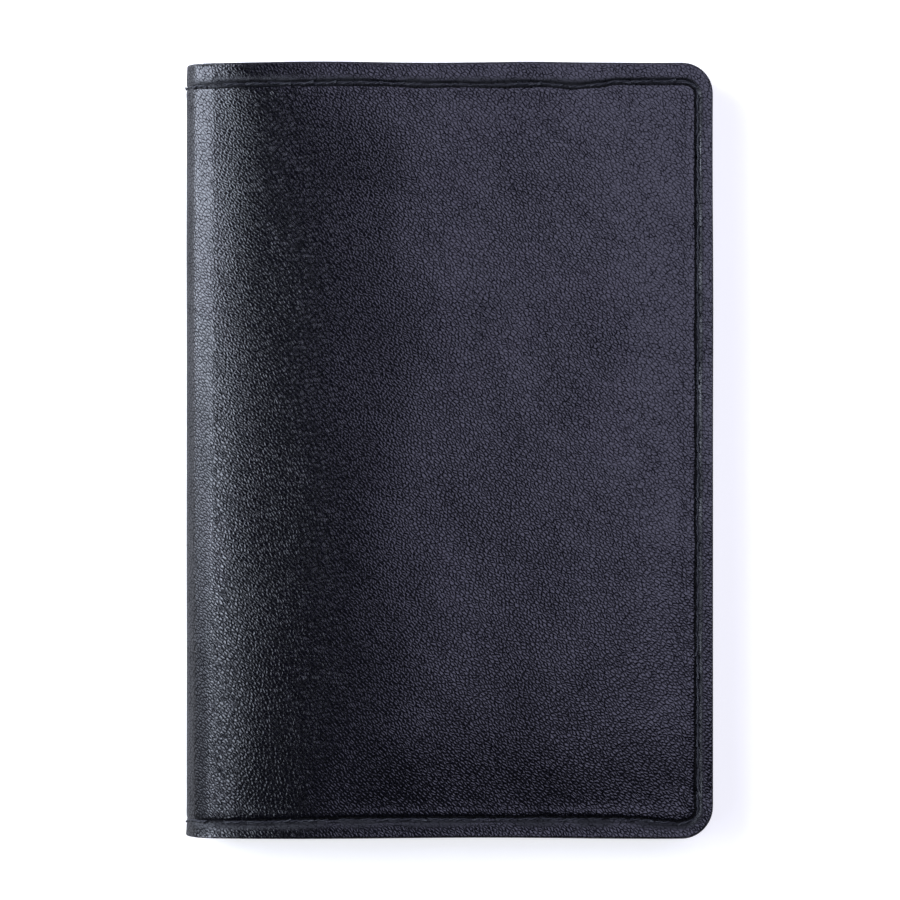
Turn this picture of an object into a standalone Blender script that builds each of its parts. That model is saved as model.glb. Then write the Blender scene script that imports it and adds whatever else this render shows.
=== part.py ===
"""A credit card case of pebbled leather, closed and lying on its back cover.

+X points at the open edge, +Y along the spine, +Z up, and the origin is under the middle of the case.
Leather, lining and thread are modelled flat, as if laid out on a table, and then folded round the
closed case's profile. In that flat sheet a point has three numbers: s, the way along the outer surface
from the back cover's open edge, over the spine, to the front cover's open edge; y; and the depth
under the outer surface. The spine is cut into strips, so that it can unroll.
"""

import math

import bmesh
import bpy
from mathutils import Vector

# Outside of the closed case, metres
CASE_WIDTH = 0.075
CASE_LENGTH = 0.110
CORNER_RADIUS = 0.0044

# Layers of a cover, from the outside in
LEATHER = 0.0010
LINING = 0.00015
TAB_FILM = 0.00015
POCKET_LEATHER = 0.0005
LAYER_GAP = 0.0002
LINING_INSET = 0.0005
POCKET_WIDTH = 0.055

# Sleeve pages of the insert, one to each strip of the spine
PAGE_FILM = 0.00012
CARD_SLOT = 0.00015
PAGE_GAP = 0.00035
PAGE_CORNER = 0.003
PAGE_TO_SEAM = 0.0010
PAGE_TO_OPEN_EDGE = 0.005
TAB_TO_SEAM = 0.0008
WELD_REACH = 0.0015
WELD_HEAD = 0.0005
WELD_WEB = 0.00025

# Spine and the front cover's hump beside it
SPINE_STRIPS = 5
STRIP_GAP = 0.0003
HINGE_DEPTH = 0.0003
SPINE_SLACK = 0.0010
FRONT_RISE = math.radians(6.0)
HUMP_LENGTH = 0.017
TIP_SLACK = 0.0002

# Seam
SEAM_TOP_MARGIN = 0.0027
SEAM_BOTTOM_MARGIN = 0.0021
SEAM_OPEN_MARGIN = 0.00245
LEAST_SEAM_RADIUS = 0.0012
GROOVE_WIDTH = 0.0008
GROOVE_DEPTH = 0.0004
STITCH_PITCH = 0.0032
THREAD_WIDTH = 0.0005
THREAD_SUNK = 0.00005
THREAD_THICKNESS = 0.00025
THREAD_END_GAP = 0.0002
HOLE_SHARE = 0.6

# Fineness of the faceted curves
CORNER_STEPS = 6
STRIP_STEPS = 3
FOOT_STEPS = 3
HUMP_STEPS = 8

# Worked out from the sizes above
LINING_DEPTH = LEATHER + LAYER_GAP
TAB_DEPTH = LINING_DEPTH + LINING + LAYER_GAP
POCKET_DEPTH = TAB_DEPTH + TAB_FILM + LAYER_GAP
COVER_STACK = POCKET_DEPTH + POCKET_LEATHER
PAGE_THICKNESS = 2 * PAGE_FILM + CARD_SLOT
PAGE_PITCH = PAGE_THICKNESS + PAGE_GAP
PAGE_BLOCK = SPINE_STRIPS * PAGE_PITCH - PAGE_GAP
PAGE_FLOOR = COVER_STACK + LAYER_GAP

SPINE_RADIUS = (2 * COVER_STACK + PAGE_BLOCK + 2 * LAYER_GAP + SPINE_SLACK) / 2
SPINE_CENTRE = Vector((SPINE_RADIUS - CASE_WIDTH / 2, 0, SPINE_RADIUS))
SPINE_TURN = math.pi - FRONT_RISE
HINGE_COUNT = SPINE_STRIPS + 1
MIDDLE_STRIP = HINGE_COUNT // 2
FRONT_AXIS = f"fold_axis_{HINGE_COUNT}"
HINGE_TURN = SPINE_TURN / HINGE_COUNT

TOP = CASE_LENGTH / 2
BOTTOM = -TOP
OPEN_EDGE = CASE_WIDTH / 2
SEAM_TOP = TOP - SEAM_TOP_MARGIN
SEAM_BOTTOM = BOTTOM + SEAM_BOTTOM_MARGIN
SEAM_RADIUS = max(CORNER_RADIUS - SEAM_OPEN_MARGIN, LEAST_SEAM_RADIUS)
PAGE_TIP = OPEN_EDGE - PAGE_TO_OPEN_EDGE

# Lengths along the outer surface
BACK_FLAT = OPEN_EDGE - SPINE_CENTRE.x
SPINE_ARC = SPINE_RADIUS * SPINE_TURN
HUMP_START = BACK_FLAT + SPINE_ARC
STRIP_LENGTH = SPINE_RADIUS * HINGE_TURN


def front_fall():
    """Slope of the front cover's straight part, so that it clears the page tips by TIP_SLACK."""
    start_x = SPINE_CENTRE.x - SPINE_RADIUS * math.sin(SPINE_TURN)
    start_z = SPINE_RADIUS * (1 - math.cos(SPINE_TURN))
    tip_z = PAGE_FLOOR + PAGE_BLOCK + LAYER_GAP + TIP_SLACK + COVER_STACK
    run = PAGE_TIP - start_x
    return (tip_z - start_z - HUMP_LENGTH * FRONT_RISE / 2) / (run - HUMP_LENGTH / 2)


FRONT_SLOPE = front_fall()
HUMP_RADIUS = HUMP_LENGTH / (FRONT_RISE - FRONT_SLOPE)


def along_front(slope):
    """Point of the hump's arc where the surface has this slope."""
    start = along_spine(SPINE_TURN)
    rise = HUMP_RADIUS * (math.cos(slope) - math.cos(FRONT_RISE))
    run = HUMP_RADIUS * (math.sin(FRONT_RISE) - math.sin(slope))
    return start + Vector((run, 0, rise))


def along_spine(turn):
    """Point of the spine's outer surface after turning this far up from the back cover."""
    return SPINE_CENTRE - SPINE_RADIUS * Vector((math.sin(turn), 0, math.cos(turn)))


HUMP_END = along_front(FRONT_SLOPE)
FRONT_STRAIGHT = (OPEN_EDGE - HUMP_END.x) / math.cos(FRONT_SLOPE)
SHEET_LENGTH = HUMP_START + HUMP_LENGTH + FRONT_STRAIGHT


def folded(point):
    """The flat sheet's point (s, y, depth) in the closed case."""
    s, y, depth = point
    if s <= BACK_FLAT:
        surface = Vector((OPEN_EDGE - s, 0, 0))
        inward = Vector((0, 0, 1))
    elif s <= HUMP_START:
        turn = (s - BACK_FLAT) / SPINE_RADIUS
        surface = along_spine(turn)
        inward = Vector((math.sin(turn), 0, math.cos(turn)))
    else:
        past_hump = max(s - HUMP_START - HUMP_LENGTH, 0)
        slope = FRONT_RISE - (s - HUMP_START - past_hump) / HUMP_RADIUS
        ahead = Vector((math.cos(slope), 0, math.sin(slope)))
        surface = along_front(slope) + past_hump * ahead
        inward = Vector((math.sin(slope), 0, -math.cos(slope)))
    return surface + depth * inward + Vector((0, y, 0))


def hinge_s(number):
    """Where hinge 1, 2, ... crosses the sheet, counted from the back cover."""
    return BACK_FLAT + STRIP_LENGTH * (number - 0.5)


def hinge_point(number):
    return folded((hinge_s(number), 0, HINGE_DEPTH))


def bend_lines():
    """The places where the sheet needs an edge across it to bend along the profile."""
    step = STRIP_LENGTH / STRIP_STEPS
    first = BACK_FLAT - STRIP_LENGTH / 2
    lines = [first + i * step for i in range(STRIP_STEPS * (HINGE_COUNT + 2))]
    lines = [s for s in lines if BACK_FLAT <= s < HUMP_START]
    lines += [BACK_FLAT, HUMP_START]
    return lines + [HUMP_START + HUMP_LENGTH * i / HUMP_STEPS for i in range(1, HUMP_STEPS + 1)]


def slab(s_range, y_range, depth_range, corner=0.0, rounded_at=None):
    """A box in the sheet's frame, with its upright edges rounded, or only those near one s."""
    bm = bmesh.new()
    bmesh.ops.create_cube(bm, size=1.0)
    for vert in bm.verts:
        ends = zip(vert.co, (s_range, y_range, depth_range))
        vert.co = [low if side < 0 else high for side, (low, high) in ends]
    upright = [e for e in bm.edges if e.verts[0].co.xy == e.verts[1].co.xy]
    if rounded_at is not None:
        middle = sum(s_range) / 2
        upright = [e for e in upright if (e.verts[0].co.x < middle) == (rounded_at < middle)]
    if corner > 0:
        bmesh.ops.bevel(bm, geom=upright, offset=corner, segments=CORNER_STEPS,
                        profile=0.5, affect="EDGES")
    return bm


def temporary_object(name, bm):
    mesh = bpy.data.meshes.new(name)
    bm.to_mesh(mesh)
    bm.free()
    obj = bpy.data.objects.new(name, mesh)
    bpy.context.collection.objects.link(obj)
    return obj


def carved(target, cutter):
    """The first solid less the second, both given as bmesh and used up."""
    body = temporary_object("body", target)
    tool = temporary_object("tool", cutter)
    modifier = body.modifiers.new("carve", "BOOLEAN")
    modifier.operation = "DIFFERENCE"
    modifier.object = tool
    bpy.context.view_layer.update()
    evaluated = body.evaluated_get(bpy.context.evaluated_depsgraph_get())
    result = bmesh.new()
    result.from_mesh(evaluated.to_mesh())
    evaluated.to_mesh_clear()
    for obj in (body, tool):
        mesh = obj.data
        bpy.data.objects.remove(obj)
        bpy.data.meshes.remove(mesh)
    return result


def cut_across(bm, s, keep):
    """Cut the sheet at s and close it there; keep is +1 for the part beyond s, -1 for the other."""
    geometry = bm.verts[:] + bm.edges[:] + bm.faces[:]
    cut = bmesh.ops.bisect_plane(bm, geom=geometry, dist=1e-9, plane_co=(s, 0, 0),
                                 plane_no=(1, 0, 0), clear_inner=keep > 0, clear_outer=keep < 0)
    edges = [e for e in cut["geom_cut"] if isinstance(e, bmesh.types.BMEdge)]
    bmesh.ops.edgeloop_fill(bm, edges=edges)


def piece_between(sheet, start, end):
    """A copy of the sheet's part from s = start to end; None leaves that side whole."""
    bm = sheet.copy()
    if start is not None:
        cut_across(bm, start, 1)
    if end is not None:
        cut_across(bm, end, -1)
    return bm


def fold(bm):
    """Give the flat solid its bend lines and fold it round the profile."""
    for s in bend_lines():
        geometry = bm.verts[:] + bm.edges[:] + bm.faces[:]
        bmesh.ops.bisect_plane(bm, geom=geometry, dist=1e-7, plane_co=(s, 0, 0), plane_no=(1, 0, 0))
    for vert in bm.verts:
        vert.co = folded(vert.co)
    return bm


def material(name, colour, roughness, alpha=1.0):
    made = bpy.data.materials.new(name)
    made.use_nodes = True
    shader = made.node_tree.nodes["Principled BSDF"]
    shader.inputs["Base Color"].default_value = (*colour, 1.0)
    shader.inputs["Roughness"].default_value = roughness
    shader.inputs["Metallic"].default_value = 0.0
    shader.inputs["Alpha"].default_value = alpha
    made.diffuse_color = (*colour, alpha)
    return made


def place(name, bm, look, axis=None):
    """Make the node from a solid in world coordinates, with its origin on its joint's axis."""
    origin = AXIS_POINTS[axis] if axis else Vector((0, 0, 0))
    bmesh.ops.translate(bm, verts=bm.verts[:], vec=-origin)
    bmesh.ops.recalc_face_normals(bm, faces=bm.faces[:])
    if bm.calc_volume(signed=True) < 0:
        bmesh.ops.reverse_faces(bm, faces=bm.faces[:])
    mesh = bpy.data.meshes.new(name)
    bm.to_mesh(mesh)
    bm.free()
    mesh.shade_smooth()
    mesh.set_sharp_from_angle(angle=math.radians(30))
    mesh.materials.append(MATERIALS[look])
    obj = bpy.data.objects.new(name, mesh)
    bpy.context.collection.objects.link(obj)
    if axis:
        obj.parent = bpy.data.objects[axis]
    return obj


def add_axis(name, point, parent=None):
    """An empty on a hinge line, which carries what turns there."""
    empty = bpy.data.objects.new(name, None)
    empty.empty_display_size = 0.005
    bpy.context.collection.objects.link(empty)
    empty.location = point - (AXIS_POINTS[parent] if parent else Vector((0, 0, 0)))
    if parent:
        empty.parent = bpy.data.objects[parent]
    AXIS_POINTS[name] = point


def seam_path(spine_end):
    """The seam of one cover as (length, point_at), from its spine end round the open edge and back."""
    start = spine_end - STRIP_GAP / 2 - THREAD_END_GAP
    near_edge = SEAM_OPEN_MARGIN
    run = start - near_edge - SEAM_RADIUS
    quarter = SEAM_RADIUS * math.pi / 2
    side = SEAM_TOP - SEAM_BOTTOM - 2 * SEAM_RADIUS
    length = 2 * run + 2 * quarter + side

    def point_at(way):
        """Sheet point (s, y) this far along the seam."""
        if way > length / 2:
            s, y = point_at(length - way)
            return s, SEAM_TOP + SEAM_BOTTOM - y
        if way <= run:
            return start - way, SEAM_TOP
        if way <= run + quarter:
            turn = (way - run) / SEAM_RADIUS
            s = near_edge + SEAM_RADIUS * (1 - math.sin(turn))
            return s, SEAM_TOP - SEAM_RADIUS * (1 - math.cos(turn))
        return near_edge, SEAM_TOP - SEAM_RADIUS - (way - run - quarter)

    return length, point_at


def thread(length, point_at, stitches):
    """One unbroken thread along a path on the sheet, drawn in at each needle hole."""
    bm = bmesh.new()
    rings = []
    quarters = 4 * stitches
    reach = length / quarters / 8
    for i in range(quarters + 1):
        way = length * i / quarters
        centre = Vector(point_at(way))
        before = Vector(point_at(max(way - reach, 0)))
        after = Vector(point_at(min(way + reach, length)))
        ahead = (after - before).normalized()
        across = Vector((-ahead.y, ahead.x))
        share = HOLE_SHARE if i % 4 == 0 else 1.0
        half = across * THREAD_WIDTH / 2 * share
        floor = THREAD_SUNK + THREAD_THICKNESS
        roof = floor - THREAD_THICKNESS * share
        corners = [(centre + half, roof), (centre - half, roof),
                   (centre - half, floor), (centre + half, floor)]
        rings.append([bm.verts.new((p.x, p.y, depth)) for p, depth in corners])
    for first, second in zip(rings, rings[1:]):
        for i in range(4):
            bm.faces.new((first[i - 1], first[i], second[i], second[i - 1]))
    bm.faces.new(rings[0])
    bm.faces.new(rings[-1])
    return bm


def on_front(bm):
    """Turn a back cover's flat solid end for end, onto the front cover."""
    for vert in bm.verts:
        vert.co.x = SHEET_LENGTH - vert.co.x
    return bm


def groove_ring():
    """The closed ring that the seam's groove takes out of the flat sheet."""
    def filled(grow, reach):
        return slab((SEAM_OPEN_MARGIN - grow, SHEET_LENGTH - SEAM_OPEN_MARGIN + grow),
                    (SEAM_BOTTOM - grow, SEAM_TOP + grow), (-reach, reach), SEAM_RADIUS + grow)

    half = GROOVE_WIDTH / 2
    return carved(filled(half, GROOVE_DEPTH), filled(-half, 2 * GROOVE_DEPTH))


def leather_sheet():
    """The whole leather, with the groove that the thread lies in."""
    leather = slab((0, SHEET_LENGTH), (BOTTOM, TOP), (0, LEATHER), CORNER_RADIUS)
    return carved(leather, groove_ring())


def lining_sheet():
    return slab((LINING_INSET, SHEET_LENGTH - LINING_INSET),
                (BOTTOM + LINING_INSET, TOP - LINING_INSET),
                (LINING_DEPTH, LINING_DEPTH + LINING), CORNER_RADIUS - LINING_INSET)


def add_covers():
    """Both covers and the spine strips between them: leather and lining."""
    edges = [hinge_s(number) for number in range(1, HINGE_COUNT + 1)]
    names = [("back_cover", "back_lining")]
    names += [(f"spine_leather_{i}", f"spine_lining_{i}") for i in range(1, SPINE_STRIPS + 1)]
    names += [("front_cover", "front_lining")]
    sheets = ((leather_sheet(), "leather"), (lining_sheet(), "lining"))
    for i, pair in enumerate(names):
        start = edges[i - 1] + STRIP_GAP / 2 if i else None
        end = edges[i] - STRIP_GAP / 2 if i < HINGE_COUNT else None
        axis = f"fold_axis_{i}" if i else None
        for name, (sheet, look) in zip(pair, sheets):
            place(name, fold(piece_between(sheet, start, end)), look, axis)
    for sheet, _ in sheets:
        sheet.free()


def add_pockets():
    """The leather flap that is sewn to the inside of each cover, open to the spine."""
    for name, turned, axis in (("back_pocket", False, None), ("front_pocket", True, FRONT_AXIS)):
        flap = slab((0, POCKET_WIDTH), (BOTTOM, TOP), (POCKET_DEPTH, COVER_STACK),
                    CORNER_RADIUS, rounded_at=0)
        place(name, fold(on_front(flap) if turned else flap), "pocket leather", axis)


def add_tabs():
    """The clear end sheets of the insert, one in each pocket, which run on to the spine."""
    clear = GROOVE_WIDTH / 2 + TAB_TO_SEAM
    s_range = (SEAM_OPEN_MARGIN + clear, hinge_s(1) - STRIP_GAP / 2)
    y_range = (SEAM_BOTTOM + clear, SEAM_TOP - clear)
    depths = (TAB_DEPTH, TAB_DEPTH + TAB_FILM)
    for name, turned, axis in (("insert_back_tab", False, None), ("insert_front_tab", True, FRONT_AXIS)):
        tab = slab(s_range, y_range, depths, PAGE_CORNER, rounded_at=0)
        place(name, fold(on_front(tab) if turned else tab), "clear film", axis)


def add_threads():
    """The seam: one thread round each cover and a short one at both ends of each spine strip."""
    for name, spine_end, turned, axis in (
            ("back_thread", hinge_s(1), False, None),
            ("front_thread", SHEET_LENGTH - hinge_s(HINGE_COUNT), True, FRONT_AXIS)):
        length, point_at = seam_path(spine_end)
        strand = thread(length, point_at, round(length / STITCH_PITCH))
        place(name, fold(on_front(strand) if turned else strand), "thread", axis)
    across = STRIP_LENGTH - STRIP_GAP - 2 * THREAD_END_GAP
    for i in range(1, SPINE_STRIPS + 1):
        start = hinge_s(i) + STRIP_GAP / 2 + THREAD_END_GAP
        for end_name, y in (("top", SEAM_TOP), ("bottom", SEAM_BOTTOM)):
            strand = thread(across, lambda way: (start + way, y), 1)
            place(f"spine_thread_{end_name}_{i}", fold(strand), "thread", f"fold_axis_{i}")


def page_z(number):
    """Height of the middle of page 1, 2, ... counted from the back cover."""
    return PAGE_FLOOR + PAGE_THICKNESS / 2 + (number - 1) * PAGE_PITCH


def page_y_range():
    clear = GROOVE_WIDTH / 2 + PAGE_TO_SEAM
    return SEAM_BOTTOM + clear, SEAM_TOP - clear


def weld_outline(number):
    """Outline, in x and z, of a strip's film and the web that stands on it to hold the page's edge."""
    outer = SPINE_RADIUS - TAB_DEPTH
    inner = outer - TAB_FILM
    middle = number * HINGE_TURN
    foot = (STRIP_LENGTH - STRIP_GAP) / 2 / SPINE_RADIUS
    web = WELD_WEB / 2 / inner
    left = SPINE_CENTRE.x - WELD_REACH
    right = left + WELD_HEAD
    low = page_z(number) - PAGE_THICKNESS / 2
    high = page_z(number) + PAGE_THICKNESS / 2

    def arc(radius, start, stop):
        turns = [middle + start + (stop - start) * i / FOOT_STEPS for i in range(FOOT_STEPS + 1)]
        return [SPINE_CENTRE - radius * Vector((math.sin(t), 0, math.cos(t))) for t in turns]

    from_above = number > MIDDLE_STRIP
    from_below = number < MIDDLE_STRIP
    outline = [Vector((right, 0, low)), Vector((right, 0, high))]
    outline.append(Vector((left + WELD_WEB * from_above, 0, high)))
    outline += arc(inner, web, foot) + arc(outer, foot, -foot) + arc(inner, -foot, -web)
    outline.append(Vector((left + WELD_WEB * from_below, 0, low)))
    return outline


def add_welds():
    """The insert's film over the spine, a strip for each page, with the weld that holds the page."""
    y_low, y_high = page_y_range()
    for number in range(1, SPINE_STRIPS + 1):
        bm = bmesh.new()
        outline = [point + Vector((0, y_low, 0)) for point in weld_outline(number)]
        face = bm.faces.new([bm.verts.new(point) for point in outline])
        grown = bmesh.ops.extrude_face_region(bm, geom=[face])
        verts = [v for v in grown["geom"] if isinstance(v, bmesh.types.BMVert)]
        bmesh.ops.translate(bm, verts=verts, vec=(0, y_high - y_low, 0))
        place(f"insert_weld_{number}", bm, "clear film", f"fold_axis_{number}")


def add_pages():
    """The sleeves, each of two films with a slot for a card between them."""
    start = SPINE_CENTRE.x - WELD_REACH + WELD_HEAD + LAYER_GAP
    low_film = -PAGE_THICKNESS / 2
    high_film = PAGE_THICKNESS / 2 - PAGE_FILM
    for i in range(1, SPINE_STRIPS + 1):
        for name, offset in ((f"page_{i}_back_film", low_film), (f"page_{i}_front_film", high_film)):
            z = page_z(i) + offset
            film = slab((start, PAGE_TIP), page_y_range(), (z, z + PAGE_FILM), PAGE_CORNER,
                        rounded_at=PAGE_TIP)
            place(name, film, "clear film", f"fold_axis_{i}")


for old in list(bpy.data.objects):
    bpy.data.objects.remove(old)

MATERIALS = {
    "leather": material("navy black pebbled leather", (0.014, 0.014, 0.020), 0.42),
    "pocket leather": material("black smooth leather", (0.012, 0.012, 0.014), 0.50),
    "lining": material("black woven lining", (0.016, 0.016, 0.018), 0.85),
    "thread": material("black thread", (0.008, 0.008, 0.010), 0.60),
    "clear film": material("clear film", (0.80, 0.83, 0.85), 0.12, 0.35),
}
AXIS_POINTS = {}
for hinge in range(1, HINGE_COUNT + 1):
    carrier = f"fold_axis_{hinge - 1}" if hinge > 1 else None
    add_axis(f"fold_axis_{hinge}", hinge_point(hinge), carrier)

add_covers()
add_pockets()
add_tabs()
add_threads()
add_welds()
add_pages()
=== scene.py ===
import math

import bmesh
import bpy
import numpy as np
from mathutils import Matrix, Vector
from mathutils.geometry import delaunay_2d_cdt


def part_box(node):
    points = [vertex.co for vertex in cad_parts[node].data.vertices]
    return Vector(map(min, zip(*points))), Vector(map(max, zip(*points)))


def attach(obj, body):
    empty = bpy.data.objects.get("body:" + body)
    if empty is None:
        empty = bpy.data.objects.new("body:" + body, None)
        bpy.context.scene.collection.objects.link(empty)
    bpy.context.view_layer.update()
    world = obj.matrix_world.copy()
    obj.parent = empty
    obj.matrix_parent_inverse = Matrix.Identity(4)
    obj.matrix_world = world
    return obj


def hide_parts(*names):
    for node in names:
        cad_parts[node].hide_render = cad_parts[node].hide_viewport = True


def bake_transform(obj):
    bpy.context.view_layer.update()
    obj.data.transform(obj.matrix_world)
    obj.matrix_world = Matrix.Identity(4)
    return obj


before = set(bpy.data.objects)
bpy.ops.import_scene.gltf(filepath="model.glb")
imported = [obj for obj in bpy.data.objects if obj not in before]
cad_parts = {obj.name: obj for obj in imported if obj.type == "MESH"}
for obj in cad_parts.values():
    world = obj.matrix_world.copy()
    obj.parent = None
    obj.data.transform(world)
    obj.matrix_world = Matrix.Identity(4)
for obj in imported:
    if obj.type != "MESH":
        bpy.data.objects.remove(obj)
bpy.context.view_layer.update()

# The camera hangs half a metre above the closed case and looks straight down, with the spine at
# the left of the picture.
def in_scene(name, data):
    made = bpy.data.objects.new(name, data)
    bpy.context.scene.collection.objects.link(made)
    return made


camera = in_scene("camera", bpy.data.cameras.new("camera"))
camera.location = (0.00016, 0.0, 0.544)
camera.data.sensor_width = 36.0
camera.data.lens = 150.9
bpy.context.scene.camera = camera


# Leather of the two covers: one hide from cover to cover, a millimetre thick, pebble-grained and
# dyed black with a navy cast. It is cut with square ends at the spine and round corners at the
# open edge, its cut edges are burnished, and the seam presses a groove into it all round.
CASE_WIDTH = 75.0
CASE_LENGTH = 110.0
CORNER_RADIUS = 4.4
HIDE = 1.0
EDGE_ROUND = 0.3
SPINE_RADIUS = 4.775
STRIPS = 5
FRONT_RISE = math.radians(6.0)
FRONT_SLOPE = -0.029078
HUMP_LENGTH = 17.0
SEAM_TOP = 2.7
SEAM_BOTTOM = 2.1
SEAM_OPEN = 2.45
SIDE_DRIFT = 0.30
GROOVE_HALF_WIDTH = 0.33
GROOVE_DEPTH = 0.26
STITCH_PITCH = 3.2
FAR_INSIDE = 30.0
HOLE_DEPTH = 0.10
HOLE_RADIUS = 0.36
PUFF = 0.07
MARGIN_FALL = 0.12
PILLOW = 0.40
RIDGE = 0.25
RIDGE_FROM_SPINE = 25.0
SPINE_DIP = 0.30
SPINE_DIP_WIDTH = 3.2

OPEN_EDGE = CASE_WIDTH / 2
TOP = CASE_LENGTH / 2
SPINE_X = SPINE_RADIUS - OPEN_EDGE
SPINE_TURN = math.pi - FRONT_RISE
HUMP_RADIUS = HUMP_LENGTH / (FRONT_RISE - FRONT_SLOPE)
BACK_FLAT = OPEN_EDGE - SPINE_X
HUMP_START = BACK_FLAT + SPINE_RADIUS * SPINE_TURN
HUMP_TOP = (SPINE_X - SPINE_RADIUS * math.sin(SPINE_TURN), SPINE_RADIUS * (1 - math.cos(SPINE_TURN)))
HUMP_END_X = HUMP_TOP[0] + HUMP_RADIUS * (math.sin(FRONT_RISE) - math.sin(FRONT_SLOPE))
HIDE_LENGTH = HUMP_START + HUMP_LENGTH + (OPEN_EDGE - HUMP_END_X) / math.cos(FRONT_SLOPE)
STRIP = SPINE_RADIUS * SPINE_TURN / (STRIPS + 1)


def folded(s, y, depth):
    """Points of the hide laid flat, in millimetres, as they lie in the closed case, in metres."""
    s, y, depth = (np.asarray(v, float) for v in np.broadcast_arrays(s, y, depth))
    turn = np.clip((s - BACK_FLAT) / SPINE_RADIUS, 0, SPINE_TURN)
    past = np.maximum(s - HUMP_START - HUMP_LENGTH, 0)
    slope = FRONT_RISE - np.maximum(s - HUMP_START - past, 0) / HUMP_RADIUS
    on_front = s > HUMP_START
    x = np.where(on_front,
                 HUMP_TOP[0] + HUMP_RADIUS * (math.sin(FRONT_RISE) - np.sin(slope)) + past * np.cos(slope),
                 SPINE_X - SPINE_RADIUS * np.sin(turn) + np.maximum(BACK_FLAT - s, 0))
    z = np.where(on_front,
                 HUMP_TOP[1] + HUMP_RADIUS * (np.cos(slope) - math.cos(FRONT_RISE)) + past * np.sin(slope),
                 SPINE_RADIUS * (1 - np.cos(turn)))
    inward_x = np.where(on_front, np.sin(slope), np.sin(turn))
    inward_z = np.where(on_front, -np.cos(slope), np.cos(turn))
    return np.stack([x + depth * inward_x, y, z + depth * inward_z], axis=-1) / 1000


WAVES_ADDED = 7


def waves(u, v, length, seed):
    """Smooth unevenness between about -1 and 1, with swells of about this length."""
    random = np.random.default_rng(seed)
    total = np.zeros(np.broadcast(u, v).shape)
    for _ in range(WAVES_ADDED):
        heading = random.uniform(0, 2 * math.pi)
        along = u * math.cos(heading) + v * math.sin(heading)
        total += np.sin(2 * math.pi * along / (length * random.uniform(0.7, 1.8)) + random.uniform(0, 7))
    return total / math.sqrt(WAVES_ADDED)


def swells(way, length, seed):
    """The same unevenness along a line."""
    return waves(way, 0.0, length, seed)


def bell(distance, width):
    return np.exp(-(distance / width) ** 2)


def side_inset(inset, margin):
    """Inset from the top or bottom edge where the inset from the open edge is this."""
    near = SEAM_OPEN - 1.0
    return np.where(inset >= near, inset + margin - SEAM_OPEN, inset * (margin - 1.0) / near)


def edge_wander(s, y, out_s, out_y):
    """How far the hand-cut edge strays outwards, from where it is and which way it faces."""
    top = 0.10 * swells(s, 34, 11) - 0.14 * bell(s - 118, 12)
    bottom = 0.10 * swells(s, 30, 12) + 0.05
    side = 0.07 * swells(y, 40, 13)
    return top * np.maximum(out_y, 0) ** 2 + bottom * np.minimum(out_y, 0) ** 2 + side * out_s ** 2


def eased(value):
    share = np.clip(value, 0, 1)
    return share * share * (3 - 2 * share)


def crown(s, y):
    """How far the front cover is filled out by what lies under it: a low pillow between the seams,
    a soft ridge where the sleeves' block ends and a dip beside the spine, where nothing fills it."""
    from_spine = s - HUMP_START
    dip = SPINE_DIP * bell(from_spine + 1.3, SPINE_DIP_WIDTH)
    pillow = PILLOW * eased(from_spine / 30) * eased((HIDE_LENGTH - s) / 14)
    ridge = RIDGE * bell(from_spine - RIDGE_FROM_SPINE, 11) * (from_spine > 0)
    return (pillow + ridge) * eased((TOP - y) / 11) * eased((TOP + y) / 15) - dip


def seam_share(inset):
    """How much of the face at this inset is the dull groove of the seam. The mask also carries
    painted shade there, and it reaches further on the outer side to paint out the glints on the
    groove's wall.
    """
    reach = 0.90 if inset < SEAM_OPEN else 0.40
    return math.exp(-abs((inset - SEAM_OPEN) / reach) ** 4)


def seam_drift(s, side):
    """How far the hand-guided seam of the front cover strays inwards from its even margin, along
    the top (side 1) and along the bottom (side -1)."""
    e = HIDE_LENGTH - s
    top = 0.40 * eased((e - 13.5) / 3) + 0.38 * bell(e - 20, 2.6) + 0.17 * bell(e - 31.5, 4)
    top += 0.10 * bell(e - 40, 2) - 0.13 * bell(e - 50.5, 4) + 0.25 * eased((e - 66) / 8)
    bottom = 0.58 * eased((e - 5) / 8) * (1 - 0.7 * eased((e - 50) / 18))
    return np.where(side > 0, top, bottom) * eased((s - BACK_FLAT + 20) / 20)


def drifted(e, y, out_e, out_y, s, inset=SEAM_OPEN):
    """Points beside the seam, moved with it to where it was really sewn."""
    share = bell(inset - SEAM_OPEN, 1.4)
    outwards = SIDE_DRIFT * eased((s - BACK_FLAT + 20) / 20)
    return e + out_e * outwards * share, y - out_y * seam_drift(s, out_y) * share


def seam_way(path_e, path_y):
    """Length along the seam at each point of its path, from the first needle hole."""
    steps = np.hypot(np.diff(path_e), np.diff(path_y))
    return np.concatenate([[0], np.cumsum(steps)]) - STRIP / 2


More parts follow.
